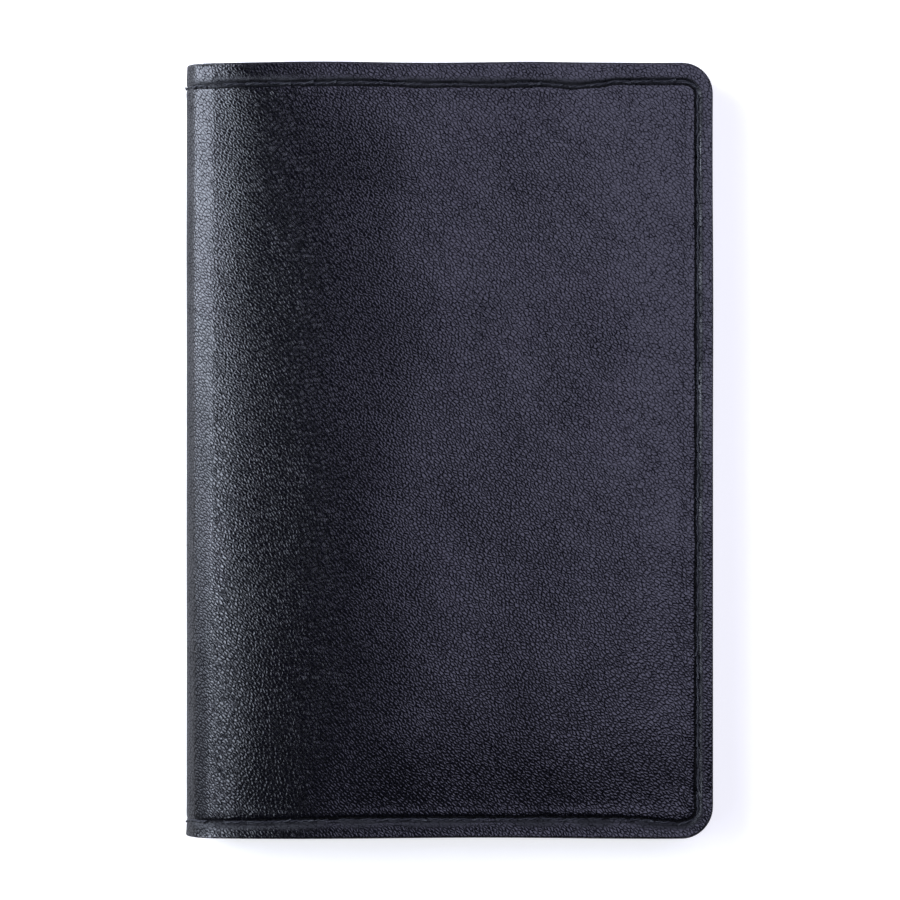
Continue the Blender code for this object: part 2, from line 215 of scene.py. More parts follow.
def relief(s, y, inset, way, gathered):
    """Height of the hide's face over its plain form: its fill, puckers at the stitches and the
    groove. way is the length along the seam and gathered is the stitch pitch there."""
    rolled = eased((s - BACK_FLAT + 5) / 5) * eased((HUMP_START + 5 - s) / 5)
    off = inset - SEAM_OPEN
    phase = way / gathered - np.round(way / gathered)
    hole = bell(phase * gathered, HOLE_RADIUS) * bell(off, HOLE_RADIUS * 1.1)
    pull = 0.5 + 0.5 * np.cos(2 * math.pi * way / gathered)
    uneven = 1 + 0.35 * swells(way, 14, 21)
    half = GROOVE_HALF_WIDTH * (1 + 0.12 * swells(way, 5, 22) + 0.18 * (1 - pull))
    groove = GROOVE_DEPTH * np.exp(-np.abs(off / half) ** 3)
    inner = PUFF * uneven * bell(off - 1.30, 0.75) * (1 - 0.35 * pull)
    outer = 0.2 * PUFF * uneven * bell(off + 1.0, 0.5) * (1 - 0.45 * pull)
    lifted = eased((7 - TOP - y) / 5)
    fall = MARGIN_FALL * (1 - 2.2 * lifted) * np.clip(1 - inset / SEAM_OPEN, 0, 1) ** 2
    swell = 0.05 * waves(s, y, 26, 31) + 0.018 * waves(s, y, 9, 32)
    sewn = inner + outer - groove - HOLE_DEPTH * hole
    return sewn * (1 - 0.55 * rolled) + swell * (1 - 0.8 * rolled) + crown(s, y) - fall


FACE_INSETS = [7.8, 6.6, 5.7, 5.0, 4.5, 4.1, 3.8, 3.5, 3.3, 3.1, 2.97, 2.86, 2.76, 2.66, 2.56, 2.45,
               2.34, 2.24, 2.14, 2.04, 1.93, 1.8, 1.6, 1.38, 1.14, 0.9, 0.66, 0.46, EDGE_ROUND]
EDGE_STEPS = 4
BACK_INSETS = [1.5, 4.0]


def hide_rows():
    """The rows of points across the hide's edge: (inset, depth, how much is face) from the middle
    of the face, round the burnished edge, to the middle of the flesh side."""
    rows = [(inset, 0.0, 1.0) for inset in FACE_INSETS]
    for i in range(1, EDGE_STEPS + 1):
        a = i / EDGE_STEPS * math.pi / 2
        rows.append((EDGE_ROUND * (1 - math.sin(a)), EDGE_ROUND * (1 - math.cos(a)), 1 - i / EDGE_STEPS))
    for i in range(EDGE_STEPS + 1):
        a = i / EDGE_STEPS * math.pi / 2
        rows.append((EDGE_ROUND * (1 - math.cos(a)), HIDE - EDGE_ROUND * (1 - math.sin(a)), 0.0))
    rows += [(inset, HIDE, 0.0) for inset in BACK_INSETS]
    return rows


HIDE_ROWS = hide_rows()
MIDDLE_Y = np.linspace(-TOP + 7.45 + 2.2, TOP - 8.05 - 2.2, 38)
RUN_POINTS = 200
ARC_POINTS = 14
SIDE_POINTS = 320


def rim_path(inset, length):
    """The way round a cover at this inset, from the spine along the top, down the open edge and
    back: distance from the open edge, y, and which way outwards is."""
    high = TOP - side_inset(inset, SEAM_TOP)
    low = -TOP + side_inset(inset, SEAM_BOTTOM)
    radius = max(CORNER_RADIUS - inset, 1.0)
    run = np.linspace(length, inset + radius, RUN_POINTS, endpoint=False)
    arc = np.linspace(0, math.pi / 2, ARC_POINTS, endpoint=False)
    side = np.linspace(high - radius, low + radius, SIDE_POINTS + 1)
    still = np.zeros(RUN_POINTS)
    e = np.concatenate([run, inset + radius * (1 - np.sin(arc)), np.full(side.shape, inset),
                        inset + radius * (1 - np.sin(arc))[::-1], run[::-1]])
    y = np.concatenate([still + high, high - radius * (1 - np.cos(arc)), side,
                        low + radius * (1 - np.cos(arc))[::-1], still + low])
    out_e = np.concatenate([still, -np.sin(arc), np.full(side.shape, -1.0), -np.sin(arc)[::-1], still])
    out_y = np.concatenate([still + 1, np.cos(arc), np.zeros(side.shape), -np.cos(arc)[::-1], still - 1])
    return e, y, out_e, out_y


def filled(boundary, inside):
    """Triangles that fill a closed outline through the points inside it."""
    points = [Vector(p) for p in boundary] + [Vector(p) for p in inside]
    count = len(boundary)
    edges = [(i, (i + 1) % count) for i in range(count)]
    _, _, faces, origins, _, _ = delaunay_2d_cdt(points, edges, [], 1, 1e-6)
    return [tuple(origins[i][0] for i in face) for face in faces]


def grid_inside(s_range, y_range, step):
    s = np.linspace(*s_range, max(int((s_range[1] - s_range[0]) / step), 2))
    y = np.linspace(*y_range, max(int((y_range[1] - y_range[0]) / step), 2))
    return [(a, b) for a in s for b in y]


def piece(name, points, faces, look, sheet, masks):
    """A closed piece in its place. sheet is where each point lies on the flat hide, and masks are
    named numbers for each point."""
    mesh = bpy.data.meshes.new(name)
    mesh.from_pydata(np.asarray(points).tolist(), [], faces)
    flat = mesh.attributes.new("flat", "FLOAT_VECTOR", "POINT")
    flat.data.foreach_set("vector", (np.asarray(sheet, np.float32) / 1000).ravel())
    for mask, values in masks:
        stored = mesh.attributes.new(mask, "FLOAT", "POINT")
        stored.data.foreach_set("value", np.asarray(values, np.float32))
    bm = bmesh.new()
    bm.from_mesh(mesh)
    bmesh.ops.recalc_face_normals(bm, faces=bm.faces)
    if bm.calc_volume(signed=True) < 0:
        bmesh.ops.reverse_faces(bm, faces=bm.faces)
    bm.to_mesh(mesh)
    bm.free()
    mesh.shade_smooth()
    mesh.set_sharp_from_angle(angle=math.radians(50))
    mesh.materials.append(look)
    return in_scene(name, mesh)


def cover_hide(name, length, look, turned):
    """The hide over one cover; turned is for the front cover, whose open edge is the hide's far end."""
    way = seam_way(*rim_path(SEAM_OPEN, length)[:2])
    # the groove's dullness and painted shade vary along the seam
    patchy = np.clip(0.85 + 0.35 * swells(way, 5, 41), 0.4, 1)
    pitch = (way[-1] - STRIP / 2) / round((way[-1] - STRIP / 2) / STITCH_PITCH)
    rings = []
    for inset, below, face in HIDE_ROWS:
        ring_e, ring_y, out_e, out_y = rim_path(inset, length)
        s = HIDE_LENGTH - ring_e if turned else ring_e
        ring_e, ring_y = drifted(ring_e, ring_y, out_e, out_y, s, inset)
        stray = edge_wander(s, ring_y, out_e, out_y) * np.clip(1 - inset / 6, 0, 1)
        rings.append([ring_e + stray * out_e, ring_y + stray * out_y, np.full(way.shape, below),
                      np.full(way.shape, 1 - face), seam_share(inset) * face * patchy,
                      face * relief(s, ring_y, inset, way, pitch)])
    points = np.concatenate(rings, axis=1).T.tolist()
    rows, count = len(HIDE_ROWS), len(way)
    faces = [(i * count + j, i * count + j + 1, (i + 1) * count + j + 1, (i + 1) * count + j)
             for i in range(rows - 1) for j in range(count - 1)]

    def add(places, below, face):
        start = len(points)
        for e, y in places:
            s = HIDE_LENGTH - e if turned else e
            rise = face * float(relief(s, y, FAR_INSIDE, 0.0, pitch))
            points.append([e, y, below, 1 - face, 0.0, rise])
        return list(range(start, len(points)))

    last_ring = list(range((rows - 1) * count, rows * count))
    middle = add([(length, value) for value in MIDDLE_Y], 0.0, 1.0)
    inside = add(grid_inside((9.5, length - 1.5), (MIDDLE_Y[0], MIDDLE_Y[-1]), 2.4), 0.0, 1.0)
    behind = add(grid_inside((8.0, length - 3.0), (-TOP + 8.0, TOP - 8.0), 6.0), HIDE, 0.0)
    for boundary, within in ((list(range(count)) + middle, inside), (last_ring, behind)):
        members = boundary + within
        triangles = filled([points[i][:2] for i in boundary], [points[i][:2] for i in within])
        faces += [tuple(members[i] for i in face) for face in triangles]
    back_rows = [(i + 1) * count - 1 for i in range(rows)]
    faces.append([i * count for i in range(rows)] + back_rows[::-1] + middle)
    e, y, depth, cut, seam, rise = np.array(points).T
    s = HIDE_LENGTH - e if turned else e
    made = piece(name, folded(s, y, depth - rise), faces, look, np.stack([s, y, depth], axis=-1),
                 (("cut", cut), ("seam", seam)))
    return made


def new_group(name, inputs, outputs, tree_kind="ShaderNodeTree"):
    """An empty node group with these inputs and outputs, and what goes in and out of it."""
    group = bpy.data.node_groups.new(name, tree_kind)
    for direction, sockets in (("INPUT", inputs), ("OUTPUT", outputs)):
        for label, kind, value in sockets:
            socket = group.interface.new_socket(label, in_out=direction, socket_type=f"NodeSocket{kind}")
            if value is not None:
                socket.default_value = value
    return group, group.nodes.new("NodeGroupInput").outputs, group.nodes.new("NodeGroupOutput")


def wire(tree, source, target):
    """Join an output to an input, or set the input where the source is a plain value."""
    if isinstance(source, bpy.types.NodeSocket):
        tree.links.new(source, target)
    else:
        target.default_value = source


def feed(tree, made, **values):
    """Wire or set a node's inputs by their names."""
    for label, value in values.items():
        wire(tree, value, made.inputs[label.replace("_", " ")])
    return made


def node(tree, kind, **values):
    return feed(tree, tree.nodes.new(kind), **values)


def in_order(tree, kind, values, **settings):
    """The first output of a new node with these settings, fed with the values in their order."""
    made = tree.nodes.new(kind)
    for label, value in settings.items():
        setattr(made, label, value)
    for value, socket in zip(values, made.inputs):
        wire(tree, value, socket)
    return made.outputs[0]


def maths(tree, operation, *values, clamp=False):
    return in_order(tree, "ShaderNodeMath", values, operation=operation, use_clamp=clamp)


def times(tree, first, second):
    return maths(tree, "MULTIPLY", first, second)


def times_plus(tree, first, second, plus, clamp=False):
    return maths(tree, "MULTIPLY_ADD", first, second, plus, clamp=clamp)


def vector_maths(tree, operation, *values):
    return in_order(tree, "ShaderNodeVectorMath", values, operation=operation)


def resized(tree, vector, factor):
    made = vector_maths(tree, "SCALE", vector)
    wire(tree, factor, made.node.inputs["Scale"])
    return made


def ramped(tree, value, low, high, to_low=0.0, to_high=1.0):
    """A smooth step of the value from low to high."""
    values = (value, low, high, to_low, to_high)
    return in_order(tree, "ShaderNodeMapRange", values, interpolation_type="SMOOTHSTEP")


def noise(tree, vector, scale, detail):
    return node(tree, "ShaderNodeTexNoise", Vector=vector, Scale=scale, Detail=detail).outputs["Fac"]


def voronoi(tree, vector, scale, feature="F1"):
    made = tree.nodes.new("ShaderNodeTexVoronoi")
    made.voronoi_dimensions = "2D"
    made.feature = feature
    return feed(tree, made, Vector=vector, Scale=scale, Randomness=0.9)


def blended(tree, share, first, second):
    """A colour between two, by share."""
    made = tree.nodes.new("ShaderNodeMix")
    made.data_type = "RGBA"
    wire(tree, share, made.inputs[0])
    for source, socket in ((first, made.inputs[6]), (second, made.inputs[7])):
        wire(tree, source if isinstance(source, bpy.types.NodeSocket) else (*source, 1.0), socket)
    return made.outputs[2]


def pebble_group():
    """Pebble grain: cells a little longer along one diagonal, each a low dome with finer cells in
    it, and a network of creases of uneven width between them."""
    group, given, result = new_group(
        "pebble grain",
        [("Vector", "Vector", None), ("Pebble Size", "Float", 0.00062), ("Fine Share", "Float", 0.3),
         ("Crease Width", "Float", 0.1)],
        [("Height", "Float", None), ("Crease", "Float", None), ("Tone", "Float", None)])
    turn = node(group, "ShaderNodeMapping", Vector=given["Vector"],
                Rotation=(0.0, 0.0, math.radians(-40)), Scale=(1.5, 0.88, 1.0))
    turn.vector_type = "TEXTURE"
    scaled = resized(group, turn.outputs[0], maths(group, "DIVIDE", 1.0, given["Pebble Size"]))
    cells = scaled
    for finer, reach in ((0.10, 0.9), (0.7, 0.32), (2.2, 0.22)):
        warp = noise(group, scaled, finer, 2.0).node.outputs["Color"]
        push = resized(group, vector_maths(group, "SUBTRACT", warp, (0.5, 0.5, 0.5)), reach)
        cells = vector_maths(group, "ADD", cells, push)
    edge = voronoi(group, cells, 1.0, "DISTANCE_TO_EDGE").outputs["Distance"]
    tint = voronoi(group, cells, 1.0).outputs["Color"]
    split = node(group, "ShaderNodeSeparateColor", Color=tint)
    fine_edge = voronoi(group, cells, 2.6, "DISTANCE_TO_EDGE").outputs["Distance"]
    uneven = ramped(group, noise(group, scaled, 0.12, 2.0), 0.3, 0.7, 0.75, 1.15)
    reach = times(group, given["Crease Width"], uneven)
    crease = ramped(group, edge, 0.0, reach, 1.0, 0.0)
    faint = ramped(group, noise(group, scaled, 0.9, 1.0), 0.35, 0.65, 0.58, 1.0)
    crease = times(group, crease, faint)
    fine_crease = ramped(group, fine_edge, 0.0, 0.12, given["Fine Share"], 0.0)
    swell = times_plus(group, split.outputs[0], 0.04, 0.11)
    dome = times(group, ramped(group, edge, 0.0, 0.42), swell)
    height = times_plus(group, crease, -0.04, dome)
    feed(group, result, Height=height, Crease=maths(group, "MAXIMUM", crease, fine_crease),
         Tone=split.outputs[1])
    return group


PEBBLES = pebble_group()


def new_material(name):
    made = bpy.data.materials.new(name)
    made.use_nodes = True
    return made, made.node_tree, made.node_tree.nodes["Principled BSDF"]


def attribute(tree, name, output="Fac"):
    made = tree.nodes.new("ShaderNodeAttribute")
    made.attribute_name = name
    return made.outputs[output]


def grain(tree, group, vector, **values):
    """A shader group placed in a material, with the material's own values."""
    made = tree.nodes.new("ShaderNodeGroup")
    made.node_tree = group
    return feed(tree, made, Vector=vector, **values)


def bumped(tree, height, distance, shader, strength=1.0):
    bump = node(tree, "ShaderNodeBump", Height=height, Distance=distance, Strength=strength)
    wire(tree, bump.outputs[0], shader.inputs["Normal"])


def leather_look():
    """Black pebbled hide with a navy cast: each pebble has a small gloss of its own, and the
    creases between them are dull. Their black is painted shade, a darker colour and a black
    metallic that paints out their reflection, and the groove of the seam is painted alike."""
    made, tree, shader = new_material("pebbled leather")
    flat = attribute(tree, "flat", "Vector")
    cut = attribute(tree, "cut")
    seam = attribute(tree, "seam")
    worn = attribute(tree, "worn")
    pebbles = grain(tree, PEBBLES, flat, Pebble_Size=0.00045, Fine_Share=0.40, Crease_Width=0.32).outputs
    crease = pebbles["Crease"]
    patches = noise(tree, flat, 90.0, 3.0)
    wrinkles = noise(tree, flat, 420.0, 2.0)
    face = blended(tree, pebbles["Tone"], (0.0012, 0.0012, 0.0024), (0.0024, 0.0024, 0.0045))
    # painted shade: the creases are coloured darker
    face = blended(tree, crease, face, (0.0008, 0.0008, 0.0015))
    # painted shade in the seam's groove: its colour is lifted a little while the black metallic below
    # paints out its reflection
    face = blended(tree, times(tree, seam, 0.8), face, (0.0070, 0.0070, 0.0085))
    edge_grain = noise(tree, flat, 2600.0, 3.0)
    burnished = blended(tree, edge_grain, (0.010, 0.009, 0.009), (0.020, 0.018, 0.017))
    dull = times_plus(tree, patches, 0.06, 0.020)
    dull = times_plus(tree, crease, 0.30, dull)
    rubbed = maths(tree, "MAXIMUM", maths(tree, "MAXIMUM", cut, worn), seam)
    dull = times_plus(tree, rubbed, 0.45, dull)
    on_face = maths(tree, "SUBTRACT", 1.0, cut)
    # metallic over the near-black colour paints out reflection: a little at random for an uneven gloss,
    # and fully in the creases and the seam's groove as painted shade
    uneven_gloss_and_painted_shade = times_plus(tree, patches, 0.26, -0.095)
    uneven_gloss_and_painted_shade = times_plus(tree, crease, 0.93, uneven_gloss_and_painted_shade, clamp=True)
    # painted shade: the seam's groove has its reflection painted out
    uneven_gloss_and_painted_shade = maths(tree, "MAXIMUM", uneven_gloss_and_painted_shade, times(tree, seam, 0.60))
    feed(tree, shader, Base_Color=blended(tree, cut, face, burnished), Roughness=dull,
         Metallic=times(tree, uneven_gloss_and_painted_shade, on_face), Specular_IOR_Level=0.65)
    pressed = times_plus(tree, maths(tree, "MAXIMUM", seam, worn), -0.6, 1.0)
    height = times(tree, times(tree, pebbles["Height"], on_face), pressed)
    height = times_plus(tree, wrinkles, 0.20, height)
    bumped(tree, height, 0.00009, shader)
    return made


LEATHER = leather_look()
front_hide = cover_hide("front_hide", HIDE_LENGTH - HUMP_START, LEATHER, True)
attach(front_hide, "front")
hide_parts("front_cover")
back_hide = cover_hide("back_hide", BACK_FLAT, LEATHER, False)
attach(back_hide, "back")
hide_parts("back_cover")


# Leather of the spine: the same hide where it rolls from cover to cover. It is made in six
# short lengths round the fold.
SPINE_STEPS = 14


def spine_length(number):
    """Where bending length 1 to 6 of the spine starts and ends on the flat hide."""
    return BACK_FLAT + (number - 1) * STRIP, BACK_FLAT + number * STRIP


def bend_with_hinge(made, number, depth):
    start, end = spine_length(number)
    tuple(folded(start, 0.0, depth))
    tuple(folded(end, 0.0, depth))
    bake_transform(made)


def lofted(name, ring, number, steps, look):
    """Bending length number of the spine as a closed piece: rings of points across the hide in
    this many steps, with its ends filled."""
    points, sheet, masks = [], [], {}
    for s in np.linspace(*spine_length(number), steps + 1):
        ring_points, ring_sheet, ring_masks = ring(s)
        points.append(ring_points)
        sheet.append(ring_sheet)
        for mask, values in ring_masks:
            masks.setdefault(mask, []).append(values)
    count = len(points[0])
    faces = []
    for i in range(steps):
        for j in range(count):
            k = (j + 1) % count
            faces.append((i * count + j, i * count + k, (i + 1) * count + k, (i + 1) * count + j))
    faces.append(list(range(count)))
    faces.append(list(range(steps * count, (steps + 1) * count)))
    return piece(name, np.concatenate(points), faces, look, np.concatenate(sheet),
                 [(mask, np.concatenate(values)) for mask, values in masks.items()])


def hide_ring(s):
    """The hide's section at one place along the spine, with the same rows as the covers'. Handling
    wears the middle of the spine's side smooth and dull."""
    from_middle = abs(s - BACK_FLAT - SPINE_RADIUS * math.pi / 2)
    worn = float(eased((3.6 - from_middle) / 1.3))
    rows = []
    for side, margin in ((1, SEAM_TOP), (-1, SEAM_BOTTOM)):
        for inset, below, face in HIDE_ROWS[::side]:
            row_y = side * (TOP - float(side_inset(inset, margin)))
            row_y -= side * float(seam_drift(s, side) * bell(inset - SEAM_OPEN, 1.4))
            stray = float(edge_wander(s, row_y, 0.0, side)) * max(1 - inset / 6, 0)
            rise = face * float(relief(s, row_y, inset, s - BACK_FLAT - STRIP / 2, STRIP))
            rows.append([row_y + side * stray, below, 1 - face, 0.85 * seam_share(inset) * face, rise])
    for row_y in MIDDLE_Y:
        rows.append([row_y, 0.0, 0.0, 0.0, float(relief(s, row_y, FAR_INSIDE, 0.0, STRIP))])
    y, depth, cut, seam, rise = np.array(rows).T
    flat = np.stack([np.full(y.shape, s), y, depth], axis=-1)
    return folded(s, y, depth - rise), flat, (("cut", cut), ("seam", seam), ("worn", [worn] * len(y)))


for number in range(1, STRIPS + 2):
    spine_hide = lofted(f"spine_hide_{number}", hide_ring, number, SPINE_STEPS, LEATHER)
    bend_with_hinge(spine_hide, number, HIDE / 2)
    if number <= STRIPS:
        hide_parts(f"spine_leather_{number}")


# Lining: thin black cloth bonded to the flesh side of the hide, cut half a millimetre short of
# its edges. It runs from cover to cover like the leather.
LINING_DEPTH = 1.2
LINING_CLOTH = 0.15
LINING_INSET = 0.5
LINING_STEPS = 8
LINING_POINTS = 40


def rounded_outline(s_range, y_range, radius, round_low_s, round_high_s, step):
    """The outline of a rectangle on the flat sheet, in steps, rounded at the ends asked for."""
    (s0, s1), (y0, y1) = s_range, y_range
    corners = [(s0, y0, round_low_s, 180), (s1, y0, round_high_s, 270),
               (s1, y1, round_high_s, 0), (s0, y1, round_low_s, 90)]
    points = []
    for s, y, is_round, start in corners:
        if not is_round:
            points.append((s, y))
            continue
        cs = s + radius if s == s0 else s - radius
        cy = y + radius if y == y0 else y - radius
        for i in range(9):
            a = math.radians(start + 90 * i / 8)
            points.append((cs + radius * math.cos(a), cy + radius * math.sin(a)))
    outline = []
    for (s, y), (next_s, next_y) in zip(points, points[1:] + points[:1]):
        parts = max(int(math.hypot(next_s - s, next_y - y) / step), 1)
        outline += [(s + (next_s - s) * i / parts, y + (next_y - y) * i / parts) for i in range(parts)]
    return outline


def thin_sheet(name, outline, inside, upper, lower, look, masks=(), placed=folded):
    """A closed sheet over an outline; upper and lower give the depths of its two faces."""
    members = outline + inside
    s, y = (np.array([p[i] for p in members]) for i in (0, 1))
    count = len(members)
    triangles = filled(outline, inside)
    faces = triangles + [tuple(i + count for i in face[::-1]) for face in triangles]
    rim = len(outline)
    faces += [(i, (i + 1) % rim, (i + 1) % rim + count, i + count) for i in range(rim)]
    s, y = np.concatenate([s, s]), np.concatenate([y, y])
    depth = np.concatenate([np.broadcast_to(upper(s[:count], y[:count]), count),
                            np.broadcast_to(lower(s[:count], y[:count]), count)])
    return piece(name, placed(s, y, depth), faces, look, np.stack([s, y, depth], axis=-1),
                 [(mask, values(s, y)) for mask, values in masks])


def weave_group():
    """Plain weave: threads over and under each other both ways. Its Shade is painted shade,
    darker where the threads sink under each other, with some random fuzz.
    """
    group, given, result = new_group(
        "plain weave", [("Vector", "Vector", None), ("Thread Pitch", "Float", 0.0003)],
        [("Height", "Float", None), ("Shade", "Float", None)])
    scaled = resized(group, given["Vector"], maths(group, "DIVIDE", math.pi, given["Thread Pitch"]))
    along, across = node(group, "ShaderNodeSeparateXYZ", Vector=scaled).outputs[:2]
    warp = maths(group, "ABSOLUTE", maths(group, "SINE", along))
    weft = maths(group, "ABSOLUTE", maths(group, "SINE", across))
    over = times(group, maths(group, "SINE", along), maths(group, "SINE", across))
    over = ramped(group, over, -0.2, 0.2)
    height = maths(group, "ADD", times(group, warp, over),
                   times(group, weft, maths(group, "SUBTRACT", 1.0, over)))
    fuzz = noise(group, scaled, 0.35, 3.0)
    # painted shade: darker where the weave is low, with random fuzz
    feed(group, result, Height=height, Shade=times(group, height, fuzz))
    return group


WEAVE = weave_group()


def lining_look():
    made, tree, shader = new_material("black woven lining")
    flat = attribute(tree, "flat", "Vector")
    weave = grain(tree, WEAVE, flat, Thread_Pitch=0.00032).outputs
    # the cloth's colour follows the weave's painted shade
    colour = blended(tree, weave["Shade"], (0.006, 0.006, 0.007), (0.026, 0.026, 0.029))
    dull = times_plus(tree, weave["Height"], -0.12, 0.9)
    feed(tree, shader, Base_Color=colour, Roughness=dull, Sheen_Weight=0.15)
    bumped(tree, weave["Height"], 0.00005, shader)
    return made


LINING = lining_look()
LINING_Y = (-TOP + LINING_INSET, TOP - LINING_INSET)


def cover_lining(name, s_range, open_edge_low):
    outline = rounded_outline(s_range, LINING_Y, CORNER_RADIUS - LINING_INSET, open_edge_low,
                              not open_edge_low, 2.0)
    inside = grid_inside((s_range[0] + 3, s_range[1] - 2), (LINING_Y[0] + 3, LINING_Y[1] - 3), 4.0)
    made = thin_sheet(name, outline, inside, lambda s, y: LINING_DEPTH,
                      lambda s, y: LINING_DEPTH + LINING_CLOTH, LINING)
    return made


def lining_ring(s):
    """The cloth's section at one place along the spine."""
    y = np.linspace(LINING_Y[1], LINING_Y[0], LINING_POINTS)
    y = np.concatenate([y, y[::-1]])
    depth = np.repeat([LINING_DEPTH + LINING_CLOTH, LINING_DEPTH], LINING_POINTS)
    return folded(s, y, depth), np.stack([np.full(y.shape, s), y, depth], axis=-1), ()


back_lining = cover_lining("back_lining_cloth", (LINING_INSET, BACK_FLAT), True)
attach(back_lining, "back")
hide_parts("back_lining")
front_lining = cover_lining("front_lining_cloth", (HUMP_START, HIDE_LENGTH - LINING_INSET), False)
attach(front_lining, "front")
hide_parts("front_lining")
for number in range(1, STRIPS + 2):
    spine_lining = lofted(f"spine_lining_cloth_{number}", lining_ring, number, LINING_STEPS, LINING)
    bend_with_hinge(spine_lining, number, LINING_DEPTH)
    if number <= STRIPS:
        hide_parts(f"spine_lining_{number}")


# Pockets: a flap of thin smooth leather inside each cover, sewn to it at the top, the open edge
# and the bottom, so that its edges are pressed down and its mouth toward the spine stands open.
POCKET_WIDTH = 55.0
POCKET_DEPTH = 1.9
POCKET_LEATHER = 0.5
POCKET_PRESSED = 0.5


def smooth_leather_look():
    made, tree, shader = new_material("smooth black leather")
    flat = attribute(tree, "flat", "Vector")
    rim = attribute(tree, "rim")
    fine = grain(tree, PEBBLES, flat, Pebble_Size=0.00036, Fine_Share=0.5, Crease_Width=0.08).outputs
    patches = noise(tree, flat, 60.0, 3.0)
    colour = blended(tree, fine["Tone"], (0.0085, 0.0085, 0.0098), (0.0120, 0.0118, 0.0130))
    colour = blended(tree, patches, colour, (0.0150, 0.0145, 0.0155))
    # painted shade: the fine creases are coloured darker
    colour = blended(tree, times(tree, fine["Crease"], 0.5), colour, (0.004, 0.004, 0.005))
    colour = blended(tree, rim, colour, (0.0200, 0.0175, 0.0165))
    feed(tree, shader, Base_Color=colour, Roughness=times_plus(tree, patches, 0.2, 0.38))
    bumped(tree, fine["Height"], 0.000035, shader)
    return made


POCKET_HIDE = smooth_leather_look()


def pocket(name, turned):
    def edge_distance(s, y):
        e = HIDE_LENGTH - s if turned else s
        return np.minimum(np.minimum(e, TOP - np.abs(y)), FAR_INSIDE)

    def mouth_distance(s):
        return np.maximum(POCKET_WIDTH - (HIDE_LENGTH - s if turned else s), 0)

    def level(s, y):
        down = POCKET_PRESSED * (1 - eased(edge_distance(s, y) / 4.5))
        seam_line = 0.12 * bell(edge_distance(s, y) - SEAM_OPEN, 0.35)
        crease = 0.10 * bell(mouth_distance(s) - 1.8, 0.3)
        return POCKET_DEPTH - down + 0.05 * waves(s, y, 22, 51) - seam_line, crease

    def lower(s, y):
        base, crease = level(s, y)
        worn = 0.16 * bell(np.minimum(edge_distance(s, y), mouth_distance(s)), 0.25)
        return base + POCKET_LEATHER - crease - worn

    radius = CORNER_RADIUS - 0.1
    outline = rounded_outline((0.1, POCKET_WIDTH), (-TOP + 0.1, TOP - 0.1), radius, True, False, 0.8)
    rows = []
    for inset in (0.25, 0.5, 0.9, 1.3, 1.7, 2.0, 2.25, 2.45, 2.65, 2.9, 3.3, 3.9, 4.6):
        rows += rounded_outline((inset, POCKET_WIDTH - min(inset, 0.3)), (-TOP + inset, TOP - inset),
                                max(CORNER_RADIUS - inset, 0.6), True, False, 0.8)
    for inset in (0.6, 1.0, 1.3, 1.5, 1.65, 1.8, 1.95, 2.1, 2.3, 2.7):
        rows += [(POCKET_WIDTH - inset, value) for value in np.linspace(-TOP + 5.2, TOP - 5.2, 90)]
    rows += grid_inside((6.0, POCKET_WIDTH - 4.0), (-TOP + 6.0, TOP - 6.0), 2.5)
    if turned:
        outline = [(HIDE_LENGTH - s, y) for s, y in outline]
        rows = [(HIDE_LENGTH - s, y) for s, y in rows]

    def rim(s, y):
        half = len(s) // 2
        near = bell(np.minimum(edge_distance(s, y), mouth_distance(s)), 0.22)
        return near * (np.arange(len(s)) >= half)

    made = thin_sheet(name, outline, rows, lambda s, y: level(s, y)[0], lower, POCKET_HIDE,
                      (("rim", rim),))
    return made


for name, body, turned in (("back_pocket_flap", "back", False), ("front_pocket_flap", "front", True)):
    flap = pocket(name, turned)
    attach(flap, body)
    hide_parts(name.replace("_flap", ""))


# Seam: a lockstitch of black twisted thread, sunk in the groove round each cover and across the
# spine's two ends. Each stitch is two plies that dive into the needle holes.
THREAD_WIDTH = 0.42
THREAD_DEPTH = 0.25
STITCH_ARCH = 0.26


def thread_look():
    made, tree, shader = new_material("black thread")
    place = tree.nodes.new("ShaderNodeTexCoord").outputs["Object"]
    fibres = noise(tree, place, 9000.0, 2.0)
    lustre = noise(tree, place, 900.0, 2.0)
    colour = blended(tree, fibres, (0.0080, 0.0085, 0.0110), (0.0170, 0.0175, 0.0220))
    feed(tree, shader, Base_Color=colour, Specular_IOR_Level=0.35,
         Roughness=times_plus(tree, lustre, 0.25, 0.45))
    bumped(tree, fibres, 0.00003, shader)
    return made


THREAD = thread_look()


